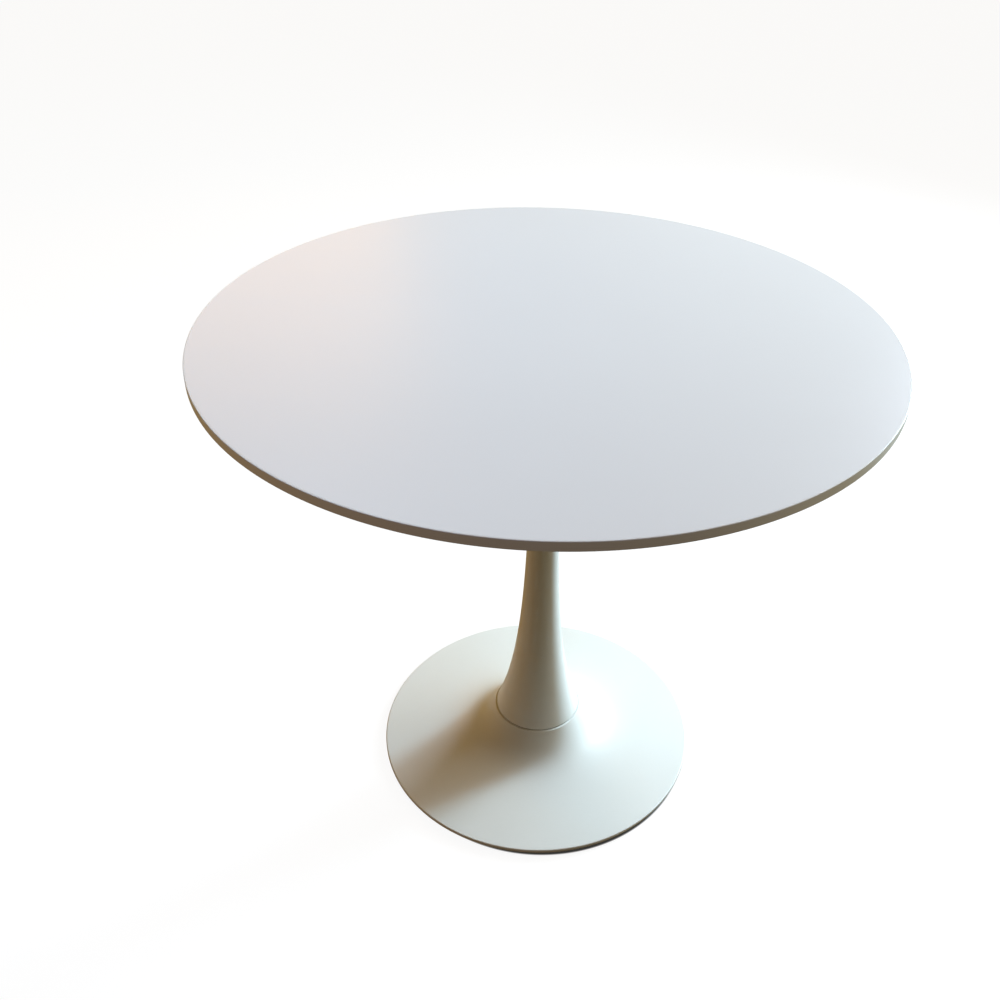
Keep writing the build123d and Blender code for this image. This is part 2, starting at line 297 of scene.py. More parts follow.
def beaded(radius, height, bead, count, ripples=70):
    """A wall with a weld bead at each end: the radius grows towards the end by the bead's size times one
    minus the distance over the bead's size, squared, and ripples with the angle."""
    angle = np.arange(count) * 2 * math.pi / count
    near = np.minimum(height - height[0], height[-1] - height)
    swell = np.clip(1 - near / bead, 0, 1) ** 2
    return radius + bead * swell[:, None] * (0.85 + 0.15 * np.sin(ripples * angle))


# The rows stand closer together towards the ends, where the beads are.
tube_spacing = 0.5 - 0.5 * np.cos(np.linspace(0, math.pi, 60))
tube_rise = tube_low[2] + (tube_high[2] - tube_low[2]) * tube_spacing
tube_outside = beaded(tube_high[0], tube_rise, weld_bead, tube_count)
tube_inside = np.full_like(tube_outside, tube_high[0] - tube_wall)
tube_radii = np.concatenate([tube_outside, tube_inside, tube_outside[:1]])
tube_heights = np.concatenate([tube_rise, tube_rise[::-1], tube_rise[:1]])
piece("hub_tube", [spun(tube_radii, tube_heights, tube_count)], "table", black_steel, 50)

# ==== Hub head ===================================================================================
# A turned steel disc welded on the tube. The base cover and the column stand on it, its spigot
# centres them both, and the tie rod passes through its middle.

head_low, head_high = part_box("hub_head")
rod_hole, spigot_radius, spigot_chamfer, head_thickness = 6.5 * MM, 41.8 * MM, 1.5 * MM, 8 * MM
seat_level = tube_high[2] + head_thickness
hub_section = rounded([
    (rod_hole, head_low[2], 0.4 * MM),
    (head_high[0], head_low[2], 0.6 * MM),
    (head_high[0], seat_level, 0.6 * MM),
    (spigot_radius, seat_level, 0.2 * MM),
    (spigot_radius, head_high[2] - spigot_chamfer, 0.3 * MM),
    (spigot_radius - spigot_chamfer, head_high[2], 0.3 * MM),
    (rod_hole, head_high[2], 0.4 * MM),
])
piece("hub_head", [spun(*hub_section.T, 160)], "table", black_steel)

# ==== Ballast disc ===============================================================================
# A second steel disc on the floor plate, round the hub tube. It is only weight, kept low and near
# the middle where the cover leaves it room.

ballast_low, ballast_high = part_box("ballast_disc")
ballast_bore = 44 * MM
ballast_section = rounded([
    (ballast_bore, ballast_low[2], 0.5 * MM),
    (ballast_high[0], ballast_low[2], 0.8 * MM),
    (ballast_high[0], ballast_high[2], 0.8 * MM),
    (ballast_bore, ballast_high[2], 0.5 * MM),
])
ballast = piece("ballast_disc", [spun(*ballast_section.T, 224)], "table", black_steel)
drill(ballast, ballast_spots, [(ballast_hole, ballast_low[2] - MM), (ballast_hole, ballast_high[2] + MM)])

# ==== Ballast screws =============================================================================
# Four M6 countersunk screws with hexagon sockets, driven up through the floor plate into the
# ballast disc's tapped holes. Their heads finish flush underneath.


def zinc_plating():
    """Bright zinc: metal with a blue and straw cast in soft patches, fine drawn lines and dull spots."""
    material, here, shader = new_finish("zinc_steel", Metallic=1.0)
    cast = here.noise(60, 3)
    lines = here.noise(900, 2, 0.5, stretch=(1, 1, 0.15))
    spots = here.noise(420, 4, 0.6)
    feed(
        shader,
        Base_Color=cast.spread((0.56, 0.59, 0.63), (0.70, 0.68, 0.60)),
        Roughness=spots * 0.22 + lines * 0.1 + 0.2,
        Normal=lines.bump(0.01 * MM, 0.5),
    )
    return material


zinc = zinc_plating()


def thread(height, count, pitch, depth, low, high):
    """How far a right-hand thread cuts in at each height and angle: a rounded triangle wave of height over
    pitch less the turn, faded out over one pitch at both ends."""
    angle = np.arange(count) / count
    phase = (height[:, None] / pitch - angle) % 1
    wave = 0.5 + 0.5 * np.tanh(3 * (np.abs(2 * phase - 1) - 0.5)) / math.tanh(1.5)
    window = np.clip((height - low) / pitch, 0, 1) * np.clip((high - height) / pitch, 0, 1)
    return depth * wave * window[:, None]


def hexagon(flats, angle):
    """The radius of a hexagon with eased corners: half the flats over the three facing cosines' norm."""
    cosines = np.abs(np.cos(angle[:, None] - np.arange(3) * math.pi / 3))
    return flats / 2 / (cosines ** 36).sum(axis=1) ** (1 / 36)


m6_radius, m6_pitch, m6_depth, m6_key = 2.9 * MM, 1 * MM, 0.5 * MM, 4 * MM


def countersunk_screw(low, high, spot, count=60):
    """One screw, head down: a hexagon socket, a flat face, a 90 degree cone, then the threaded shank."""
    angle = np.arange(count) * 2 * math.pi / count
    shank = np.arange(low + 2.95 * MM, high - 0.5 * MM, m6_pitch / 6)
    shank_radius = m6_radius - thread(shank, count, m6_pitch, m6_depth, low + 4 * MM, high)
    key_socket = np.minimum(np.array([0, 2.6, 2.6])[:, None] * MM, hexagon(m6_key, angle))
    face = np.array([2.8, 5.5, 5.75, 5.7, 2.95])[:, None] * MM + 0 * angle
    point = np.array([2.4, 0])[:, None] * MM + 0 * angle
    head_levels = low + np.array([2, 2, 0.1, 0, 0, 0.05, 0.15, 2.9]) * MM
    radii = np.concatenate([key_socket, face, shank_radius, point])
    return spun(radii, np.concatenate([head_levels, shank, [high, high]]), count, spot)


tight_low, tight_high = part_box("ballast_screws")
tight_screws = [countersunk_screw(tight_low[2], tight_high[2], spot) for spot in ballast_spots]
piece("ballast_screws", tight_screws, "table", zinc, 40)

# ==== Rim cushion ================================================================================
# A strip of black rubber pressed between the floor plate's edge and the cover's skirt, so that the
# thin cover can't rattle or ring.


def moulded_rubber():
    """Dull black rubber with a fine grain and a faint grey bloom."""
    material, here, shader = new_finish("black_rubber", Specular_IOR_Level=0.35)
    grain = here.noise(2600, 3, 0.6)
    bloom = here.noise(35, 4)
    feed(
        shader,
        Base_Color=bloom.spread((0.012, 0.012, 0.012), (0.04, 0.039, 0.037)),
        Roughness=bloom * 0.2 + 0.62,
        Normal=grain.bump(0.05 * MM, 0.6),
    )
    return material


rubber = moulded_rubber()
cushion_low, cushion_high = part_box("rim_cushion")
cushion_bore = plate_high[0] + 0.05 * MM
cushion_section = rounded([
    (cushion_bore, cushion_low[2], 0.5 * MM),
    (cushion_high[0], cushion_low[2], 0.5 * MM),
    (cushion_high[0], cushion_high[2], 0.5 * MM),
    (cushion_bore, cushion_high[2], 0.5 * MM),
])
piece("rim_cushion", [spun(*cushion_section.T, 256)], "table", rubber)

# ==== Base cover =================================================================================
# Steel sheet spun over a former: a flange under the column, a flare, a shallow cone and a rolled rim
# with a short skirt. It hides the floor plate, and is clamped by its flange between hub and column.


def powder_coating():
    """White powder coating: a soft orange peel a few millimetres across with a finer grain on it, a shade
    warmer in places, and slightly duller where the powder lay thick."""
    material, here, shader = new_finish("white_coating", Specular_IOR_Level=0.5)
    peel = here.noise(260, 2, 0.45)
    grain = here.noise(1900, 2, 0.5)
    clouds = here.noise(7, 3)
    shade = clouds * 0.75 + peel * 0.25
    feed(
        shader,
        Base_Color=shade.spread((0.79, 0.79, 0.755), (0.84, 0.84, 0.82)),
        Roughness=clouds * 0.1 + grain * 0.06 + 0.3,
        Normal=grain.bump(0.02 * MM, 0.35, under=peel.bump(0.10 * MM, 0.35)),
    )
    return material


white_coat = powder_coating()
cover_low, cover_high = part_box("base_cover")
base_radius, seat_height, sheet = cover_high[0], cover_high[2], 1.5 * MM
seat_radius, cone_rise, cone_slope, flare_fade = 69 * MM, 11 * MM, 0.075, 22 * MM
slip_bore = spigot_radius + 0.2 * MM
flare_rise = seat_height - cone_rise - cone_slope * (base_radius - seat_radius)


def cover_section():
    """The cover's outline: height = cone + flare, where the cone falls evenly to the rim and the flare
    fades exponentially from the seat outwards. The inside is the outside moved in by the sheet, square
    to the slope. The rim rolls over in a quarter circle into the skirt."""
    rim_round, seat_round = 2 * MM, 1.1 * MM
    radius = seat_radius + (base_radius - rim_round - seat_radius) * np.linspace(0, 1, 90) ** 1.6
    flare = flare_rise * np.exp(-(radius - seat_radius) / flare_fade)
    height = cone_rise + cone_slope * (base_radius - radius) + flare
    slope = -cone_slope - flare / flare_fade
    length = np.hypot(1, slope)
    inside = np.stack([radius + sheet * slope / length, height - sheet / length], axis=1)
    clear = np.searchsorted(radius, seat_radius + seat_round + 0.1 * MM)
    # Only the seat's own part of this outline is kept: the inside and outside go on from its ends.
    seat = rounded([
        (slip_bore, seat_height - sheet, 0.2 * MM),
        (slip_bore, seat_height, 0.3 * MM),
        (seat_radius, seat_height, seat_round),
        (radius[clear], height[clear], 0),
    ])[8:-2]
    # The rim's arc starts at the cone's angle, which is so small that it equals the slope.
    bend = np.linspace(cone_slope, math.pi / 2, 12)
    arc = np.stack([np.sin(bend), np.cos(bend)], axis=1)
    arc_centre = np.array([base_radius - rim_round, height[-1] - rim_round * math.cos(cone_slope)])
    roll = arc_centre + rim_round * arc
    under = arc_centre + (rim_round - sheet) * arc[::-1]
    skirt_in = np.array([0, 0.2 * MM, sheet / 2, sheet - 0.2 * MM, sheet])
    skirt_up = np.array([0.5, 0.1, 0, 0.1, 0.5]) * MM
    skirt = np.stack([base_radius - skirt_in, cover_low[2] + skirt_up], axis=1)
    inside = inside[inside[:, 1] < seat_height - sheet]
    inside = inside[inside[:, 0] > spigot_radius + MM][::-1]
    outside = np.stack([radius[clear:], height[clear:]], axis=1)
    outline = np.concatenate([seat, outside, roll[1:], skirt, under, inside[1:]])
    return np.concatenate([outline, outline[:1]])


piece("base_cover", [spun(*cover_section().T, 384)], "table", white_coat, 50)

# ==== Seat gasket ================================================================================
# A thin rubber ring between the base cover's flange and the column. Set back a little, it leaves
# the fine dark line seen at the column's foot.

gasket_low, gasket_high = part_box("seat_gasket")
gasket_bore = 50 * MM
gasket_section = rounded([
    (gasket_bore, gasket_low[2], 0.3 * MM),
    (gasket_high[0], gasket_low[2], 0.3 * MM),
    (gasket_high[0], gasket_high[2], 0.3 * MM),
    (gasket_bore, gasket_high[2], 0.3 * MM),
])
piece("seat_gasket", [spun(*gasket_section.T, 192)], "table", rubber)

# ==== Column =====================================================================================
# One steel trumpet, spun from tube: it narrows from a wide foot to a slim neck in one sweep. It is
# coated like the cover and held only by the tie rod's pull.

column_low, column_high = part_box("column")
foot_level, mouth_level = column_low[2], column_high[2]
foot_radius, neck_radius, column_fade, column_wall = 66.5 * MM, 19.8 * MM, 129 * MM, 1.8 * MM


def column_bore(height):
    """The column's inside radius: its outside, set in by the wall measured square to the slope."""
    flare = (foot_radius - neck_radius) * np.exp(-(height - foot_level) / column_fade)
    return neck_radius + flare - column_wall * np.hypot(1, flare / column_fade)


def column_section():
    """The column's outline: radius = neck + flare, the flare fading exponentially with height. The ends of
    the wall are eased with small quarter rounds."""
    ease = 0.5 * MM
    height = foot_level + ease + (mouth_level - foot_level - 2 * ease) * np.linspace(0, 1, 140) ** 1.35
    outside = neck_radius + (foot_radius - neck_radius) * np.exp(-(height - foot_level) / column_fade)
    inside = column_bore(height)
    bend = np.linspace(0, math.pi / 2, 5)[1:-1]
    near, far = ease * (1 - np.cos(bend)), ease * (1 - np.sin(bend))
    top = np.stack([outside[-1] - near, mouth_level - far], axis=1)
    top_in = np.stack([inside[-1] + far, mouth_level - near], axis=1)
    low = np.stack([outside[0] - far, foot_level + near], axis=1)
    low_in = np.stack([inside[0] + near, foot_level + far], axis=1)
    outline = np.concatenate([
        low, np.stack([outside, height], axis=1), top,
        [(outside[-1] - ease, mouth_level), (inside[-1] + ease, mouth_level)], top_in,
        np.stack([inside, height], axis=1)[::-1], low_in,
        [(inside[0] + ease, foot_level), (outside[0] - ease, foot_level)],
    ])
    return np.concatenate([outline, outline[:1]])


piece("column", [spun(*column_section().T, 256)], "table", white_coat, 50)

# ==== Column foot ring ===========================================================================
# A steel ring welded inside the foot. It stiffens the thin wall there, takes the seat's load and
# slips over the hub's spigot.

ring_low, ring_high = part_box("column_foot_ring")
ring_gap = 0.08 * MM
ring_section = rounded([
    (slip_bore, ring_low[2], 0.5 * MM),
    (column_bore(ring_low[2]) - ring_gap, ring_low[2], 0.2 * MM),
    (column_bore(ring_high[2]) - ring_gap, ring_high[2], 0.2 * MM),
    (slip_bore, ring_high[2], 0.5 * MM),
])
piece("column_foot_ring", [spun(*ring_section.T, 160)], "table", black_steel)

# ==== Tie rod ====================================================================================
# An M12 steel rod, zinc plated, with rolled threads at both ends. It pulls the mounting plate down
# on the column and the column down on the base.

rod_low, rod_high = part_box("tie_rod")
rod_radius, rod_pitch, rod_depth, rod_ease, rod_count = 6 * MM, 1.75 * MM, 1 * MM, 1 * MM, 40
low_thread_end, high_thread_start = rod_low[2] + 50 * MM, rod_high[2] - 40 * MM
rod_heights = np.concatenate([
    np.arange(rod_low[2] + rod_ease, low_thread_end, rod_pitch / 8),
    np.linspace(low_thread_end, high_thread_start, 12),
    np.arange(high_thread_start + rod_pitch / 8, rod_high[2] - rod_ease, rod_pitch / 8),
    [rod_high[2] - rod_ease],
])
rod_cut = np.maximum(
    thread(rod_heights, rod_count, rod_pitch, rod_depth, rod_low[2], low_thread_end),
    thread(rod_heights, rod_count, rod_pitch, rod_depth, high_thread_start, rod_high[2]),
)
rod_end = np.repeat([[0], [rod_radius - rod_ease]], rod_count, axis=1)
rod_radii = np.concatenate([rod_end, rod_radius - rod_cut, rod_end[::-1]])
rod_levels = np.concatenate([[rod_low[2]] * 2, rod_heights, [rod_high[2]] * 2])
piece("tie_rod", [spun(rod_radii, rod_levels, rod_count)], "table", zinc, 60)

# ==== Rod washer =================================================================================
# A punched plate washer under the hub head: one edge is rounded by the punch and the other is
# nearly sharp.

washer_low, washer_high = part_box("rod_washer")
washer_section = rounded([
    (rod_hole, washer_low[2], 0.5 * MM),
    (washer_high[0], washer_low[2], 0.8 * MM),
    (washer_high[0], washer_high[2], 0.1 * MM),
    (rod_hole, washer_high[2], 0.1 * MM),
])
piece("rod_washer", [spun(*washer_section.T, 96)], "table", zinc)

# ==== Spring washer ==============================================================================
# One turn of square spring steel with a slanting gap. Squeezed almost flat, it keeps the nut from
# working loose.


def split_ring(low, high, inner, outer, gap):
    """A square bar carried once round the axis. Each section is four rounded corners; the two ends stop
    short of each other by the gap, and the bar climbs a little from one end to the other."""
    middle_radius, middle_height = (inner + outer) / 2, (low + high) / 2
    lift = 0.12 * (high - low)
    half_width, half_height = (outer - inner) / 2, (high - low) / 2 - lift
    corner = 0.35 * MM
    quarter = np.linspace(0, math.pi / 2, 4)
    section = np.concatenate([
        np.stack([sx * (half_width - corner) + corner * np.cos(quarter + start),
                  sy * (half_height - corner) + corner * np.sin(quarter + start)], axis=1)
        for start, sx, sy in ((0, 1, 1), (math.pi / 2, -1, 1), (math.pi, -1, -1), (1.5 * math.pi, 1, -1))])
    span = gap / middle_radius / 2
    angle = np.linspace(span, 2 * math.pi - span, 72)
    climb = lift * (angle / math.pi - 1)
    slant = 0.3 * section[:, 1] / middle_radius
    beside_gap = np.abs(angle - math.pi) > 2.5
    turn = angle[:, None] + slant * beside_gap[:, None]
    radius = middle_radius + section[:, 0]
    level = middle_height + climb[:, None] + section[:, 1]
    bar = np.stack([radius * np.cos(turn), radius * np.sin(turn), level], axis=-1)
    caps = [np.repeat(bar[end].mean(axis=0)[None, None], len(section), axis=1) for end in (0, -1)]
    return np.concatenate([caps[0], bar, caps[1]])


spring_low, spring_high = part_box("spring_washer")
spring_radius, spring_gap = 10.5 * MM, 2 * MM
spring = split_ring(spring_low[2], spring_high[2], rod_hole, spring_radius, spring_gap)
piece("spring_washer", [spring], "table", zinc)

# ==== Rod nut ====================================================================================
# An M12 hexagon nut, forged and tapped, with its corners chamfered at both faces. Tightening it
# clamps the whole table together.


def nut(low, high, flats, bore, pitch, count=144):
    """A chamfered hexagon nut: at each height the radius is the hexagon's or the chamfer cone's, whichever
    is smaller, and the bore carries its thread."""
    angle = np.arange(count) * 2 * math.pi / count
    face, corner = 0.95 * flats / 2, flats / math.sqrt(3)
    cone = np.linspace(face, corner, 8)
    drop = (cone - face) * math.tan(math.radians(30))
    bore_heights = np.arange(low + 0.4 * MM, high - 0.4 * MM, pitch / 8)
    bore_thread = thread(bore_heights, count, pitch, 0.4 * MM, low, high)
    outer = np.concatenate([[bore + 0.6 * MM], cone, cone[::-1], [bore + 0.6 * MM]])
    levels = np.concatenate([[low], low + drop, (high - drop)[::-1], [high]])
    outer = np.minimum(outer[:, None], hexagon(flats, angle))
    radii = np.concatenate([outer, bore + bore_thread[::-1], outer[:1]])
    return spun(radii, np.concatenate([levels, bore_heights[::-1], [low]]), count)


nut_low, nut_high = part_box("rod_nut")
nut_flats, nut_bore = 18 * MM, 6.05 * MM
rod_nut = nut(nut_low[2], nut_high[2], nut_flats, nut_bore, rod_pitch)
piece("rod_nut", [rod_nut], "table", zinc)

# ==== Plate nut ==================================================================================
# The same M12 nut, welded under the mounting plate so that the tie rod has something to pull on.

welded_low, welded_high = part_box("plate_nut")
plate_nut = nut(welded_low[2], welded_high[2], nut_flats, nut_bore, rod_pitch)
piece("plate_nut", [plate_nut], "table", zinc)

# ==== Plate socket ===============================================================================
# A piece of steel tube welded under the mounting plate. The column's mouth slips over it, and its
# lower edge is chamfered to find the way in.

socket_low, socket_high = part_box("plate_socket")
socket_radius, socket_bore, socket_chamfer = socket_high[0], 13 * MM, 2 * MM
chamfer_end = socket_low[2] + socket_chamfer
socket_rise = np.concatenate([
    [socket_low[2], chamfer_end], np.linspace(chamfer_end + 0.3 * MM, socket_high[2], 24),
])
socket_wall = np.full(len(socket_rise), socket_radius)
socket_wall[0] -= socket_chamfer
socket_radii = np.concatenate([socket_wall, np.full(len(socket_rise), socket_bore), socket_wall[:1]])
socket_levels = np.concatenate([socket_rise, socket_rise[::-1], socket_rise[:1]])
piece("plate_socket", [spun(socket_radii, socket_levels, 128)], "table", black_steel)

# ==== Mounting plate =============================================================================
# A round 4 mm steel plate with eight clearance holes, coated black. It spreads the pull of the tie
# rod over the underside of the top.

mount_low, mount_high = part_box("mounting_plate")
mount_section = rounded([
    (0, mount_low[2], 0),
    (mount_high[0], mount_low[2], 1.0 * MM),
    (mount_high[0], mount_high[2], 1.0 * MM),
    (0, mount_high[2], 0),
])
mounting_plate = piece("mounting_plate", [spun(*mount_section.T, 224)], "table", black_steel)
screw_circle, screw_hole = 110 * MM, 3.3 * MM
screw_angles = (np.arange(8) + 0.5) * math.pi / 4
screw_spots = [(screw_circle * math.cos(angle), screw_circle * math.sin(angle)) for angle in screw_angles]
for hole_spots, hole_radius in (([(0, 0)], rod_hole), (screw_spots, screw_hole)):
    drill(mounting_plate, hole_spots, [(hole_radius, mount_low[2] - MM), (hole_radius, mount_high[2] + MM)])

# ==== Insert nuts ================================================================================
# Eight zinc-plated M6 inserts driven into the core from below. A coarse outer thread bites into the
# fibreboard and the machine screws run in their bores.

insert_low, insert_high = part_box("insert_nuts")
insert_radius, insert_ease, insert_bore, insert_count = 5 * MM, 0.5 * MM, 3 * MM, 40
insert_pitch, insert_depth = 2.5 * MM, 0.8 * MM
insert_rise = np.linspace(insert_low[2] + insert_ease, insert_high[2] - insert_ease, 44)
insert_cut = thread(insert_rise, insert_count, insert_pitch, insert_depth, insert_low[2], insert_high[2])
insert_end = np.full((1, insert_count), insert_radius - insert_ease)
insert_inside = np.full((2, insert_count), insert_bore)
insert_radii = np.concatenate([insert_end, insert_radius - insert_cut, insert_end, insert_inside, insert_end])
insert_levels = np.concatenate([
    [insert_low[2]], insert_rise, [insert_high[2], insert_high[2], insert_low[2], insert_low[2]],
])
inserts = [spun(insert_radii, insert_levels, insert_count, spot) for spot in screw_spots]
piece("insert_nuts", inserts, "table", zinc, 50)

# ==== Plate washers ==============================================================================
# Eight small punched washers between the screw heads and the mounting plate.

small_low, small_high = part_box("plate_washers")
small_radius = 7 * MM
small_section = rounded([
    (screw_hole, small_low[2], 0.25 * MM),
    (small_radius, small_low[2], 0.4 * MM),
    (small_radius, small_high[2], 0.05 * MM),
    (screw_hole, small_high[2], 0.05 * MM),
], steps=4)
washers = [spun(*small_section.T, 56, spot) for spot in screw_spots]
piece("plate_washers", washers, "table", zinc)

# ==== Plate screws ===============================================================================
# Eight M6 button-head screws with a hexagon socket, driven up through the plate into the inserts.


def button_screw(low, high, spot, count=60):
    """One screw, head down: a hexagon socket sunk in a low dome, then the shank with its thread. The dome
    is a quarter of an ellipse."""
    angle = np.arange(count) * 2 * math.pi / count
    key_rim, head_radius, dome_height = 2.7 * MM, 5.2 * MM, 2.3 * MM
    head, shank_end = low + 3.6 * MM, high - 0.6 * MM
    bend = np.linspace(0, math.pi / 2, 9)
    dome = np.append(key_rim + (head_radius - key_rim) * np.sin(bend), head_radius)[:, None] + 0 * angle
    dome_level = low + dome_height * (1 - np.cos(bend))
    shank = np.append(np.arange(head, shank_end, m6_pitch / 6), shank_end)
    shank_radius = m6_radius - thread(shank, count, m6_pitch, m6_depth, head + 2 * MM, high)
    key_socket = np.minimum(np.array([0, 2.6, 2.6])[:, None] * MM, hexagon(m6_key, angle))
    point = np.array([2.4, 0])[:, None] * MM + 0 * angle
    levels = np.concatenate([
        [low + 2 * MM, low + 2 * MM, low + 0.15 * MM], dome_level, [head], shank, [high, high],
    ])
    return spun(np.concatenate([key_socket, dome, shank_radius, point]), levels, count, spot)


screw_low, screw_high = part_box("plate_screws")
screws = [button_screw(screw_low[2], screw_high[2], spot) for spot in screw_spots]
piece("plate_screws", screws, "table", zinc, 40)

# ==== Top core ===================================================================================
# A disc of dense fibreboard, bevelled underneath so that only a slim edge shows. The bevel is
# sealed with white lacquer; the rest is hidden between the two laminates.


def sealed_fibreboard():
    """Brown fibreboard, fine and speckled, and white lacquer with a faint orange peel on the bevel. The
    lacquer starts where the backing laminate ends, by distance from the axis."""
    material, here, shader = new_finish("fibreboard", Specular_IOR_Level=0.4)
    fibres = here.noise(700, 5, 0.7, stretch=(1, 1, 3))
    peel = here.noise(320, 2)
    across = here.node("VectorMath", {"operation": "MULTIPLY"}, {0: here, 1: (1, 1, 0)})
    distance = here.node("VectorMath", {"operation": "LENGTH"}, {0: across}, out=1)
    lacquer = distance.above(backing_radius, 0.2 * MM)
    bare = fibres.spread((0.30, 0.20, 0.11), (0.55, 0.41, 0.26))
    coat = peel.spread((0.79, 0.79, 0.77), (0.83, 0.83, 0.815))
    feed(
        shader,
        Base_Color=here.node("Mix", {"data_type": "RGBA"}, {0: lacquer, 6: bare, 7: coat}, out=2),
        Roughness=0.82 - lacquer * 0.42 + fibres * 0.06,
        Normal=(fibres * (1 - lacquer) + peel * lacquer * 0.4).bump(0.08 * MM, 0.5),
    )
    return material


band_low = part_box("edge_band")[0]
core_low, core_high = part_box("top_core")
backing_low, backing_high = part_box("backing_laminate")
top_radius, band_thickness = 450 * MM, 2 * MM
core_radius, backing_radius, insert_hole = top_radius - band_thickness, 420 * MM, 5.05 * MM
core_section = rounded([
    (0, core_low[2], 0),
    (backing_radius, core_low[2], 0.3 * MM),
    (core_radius, band_low[2], 0.15 * MM),
    (core_radius, core_high[2], 0.05 * MM),
    (0, core_high[2], 0),
])
board = sealed_fibreboard()
top_core = piece("top_core", [spun(*core_section.T, 512)], "table", board, 12)
insert_hole_end = insert_high[2] + 0.6 * MM
drill(top_core, screw_spots, [(insert_hole, core_low[2] - MM), (insert_hole, insert_hole_end)], 12)

# ==== Backing laminate ===========================================================================
# A plain off-white sheet glued under the core. It balances the pull of the top sheet, so that the
# disc stays flat.


def backing_sheet():
    """Matt off-white laminate with a faint sanded drift and a few darker flecks."""
    material, here, shader = new_finish("backing_sheet", Specular_IOR_Level=0.4)
    drift = here.noise(18, 4, 0.6, stretch=(0.2, 3, 1))
    flecks = here.noise(240, 4, 0.7).above(0.72, 0.04)
    tone = drift * 0.8 + 0.1 - flecks * 0.35
    feed(
        shader,
        Base_Color=tone.spread((0.60, 0.58, 0.53), (0.76, 0.75, 0.71)),
        Roughness=drift * 0.12 + 0.5,
        Normal=here.noise(1500, 2).bump(0.02 * MM, 0.5),
    )
    return material


backing_section = rounded([
    (0, backing_low[2], 0),
    (backing_radius, backing_low[2], 0.1 * MM),
    (backing_radius, backing_high[2], 0.1 * MM),
    (0, backing_high[2], 0),
])
backing_disc = spun(*backing_section.T, 512)
backing = piece("backing_laminate", [backing_disc], "table", backing_sheet())
drill(backing, screw_spots, [(insert_hole, backing_low[2] - MM), (insert_hole, backing_high[2] + MM)])

# ==== Edge band ==================================================================================
# A 2 mm strip of extruded plastic glued round the core, then routed flush. Its upper arris is
# rounded and buffed, and takes a fine bright line from the light.


def extruded_edging():
    """Satin plastic edging: fine lines run round it from the die, and its tone drifts a little."""
    material, here, shader = new_finish("white_edging", Specular_IOR_Level=0.5)
    lines = here.noise(1200, 2, 0.5, stretch=(0.02, 0.02, 1))
    drift = here.noise(9, 3)
    feed(
        shader,
        Base_Color=drift.spread((0.80, 0.80, 0.785), (0.83, 0.83, 0.82)),
        Roughness=drift * 0.08 + lines * 0.05 + 0.27,
        Normal=lines.bump(0.015 * MM, 0.5),
    )
    return material


laminate_low, laminate_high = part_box("top_laminate")
table_height = laminate_high[2]
glue_line, arris = 0.03 * MM, 1.0 * MM
band_section = rounded([
    (core_radius + glue_line, band_low[2], 0.2 * MM),
    (top_radius, band_low[2], 0.4 * MM),
    (top_radius, table_height, arris),
    (core_radius + glue_line, table_height, 0.12 * MM),
], steps=8)
piece("edge_band", [spun(*band_section.T, 512)], "table", extruded_edging())

# ==== Top laminate ===============================================================================
# A thin sheet of hard white laminate glued on the core and trimmed flush with the edging. This is
# the table's surface: satin, very slightly pearled, and wiped clean many times.


def satin_laminate():
    """White laminate with a pressed satin texture: pearls under a millimetre across, faint long wiping
    arcs that change the gloss, and a slight warm or cool drift over the whole sheet."""
    material, here, shader = new_finish("white_laminate", Specular_IOR_Level=0.5)
    pearls = here.noise(1100, 2, 0.5)
    swirl = here.noise(3, 2)
    aside = here.node("VectorMath", {"operation": "ADD"}, {0: here, 1: (0.3, 0.1, 0)})
    wipes = aside.noise(10, 4, 0.6, stretch=(1, 5, 1))
    feed(
        shader,
        Base_Color=swirl.spread((0.79, 0.792, 0.805), (0.825, 0.828, 0.84)),
        Roughness=wipes * 0.07 + pearls * 0.05 + 0.28,
        Normal=pearls.bump(0.02 * MM, 0.4),
    )
    return material


sheet_section = rounded([
    (0, laminate_low[2], 0),
    (core_radius, laminate_low[2], 0.05 * MM),
    (core_radius, table_height, 0.12 * MM),
    (0, table_height, 0),
])
piece("top_laminate", [spun(*sheet_section.T, 512)], "table", satin_laminate())

# ==== Glides =====================================================================================
# Four levelling feet. Each is an M8 stud with a hexagon collar, screwed up into the floor plate; its
# ball turns in a moulded nylon pad, which rests flat on the floor.


def moulded_nylon():
    """Black nylon with the fine spark texture of its mould, rubbed a little smoother in patches."""
    material, here, shader = new_finish("glide_nylon", Specular_IOR_Level=0.5)
    spark = here.noise(3200, 3, 0.6)
    rubbed = here.noise(160, 3)
    feed(
        shader,
        Base_Color=rubbed.spread((0.018, 0.018, 0.019), (0.05, 0.05, 0.05)),
        Roughness=rubbed * 0.2 + 0.38,
        Normal=spark.bump(0.03 * MM, 0.5),
    )
    return material


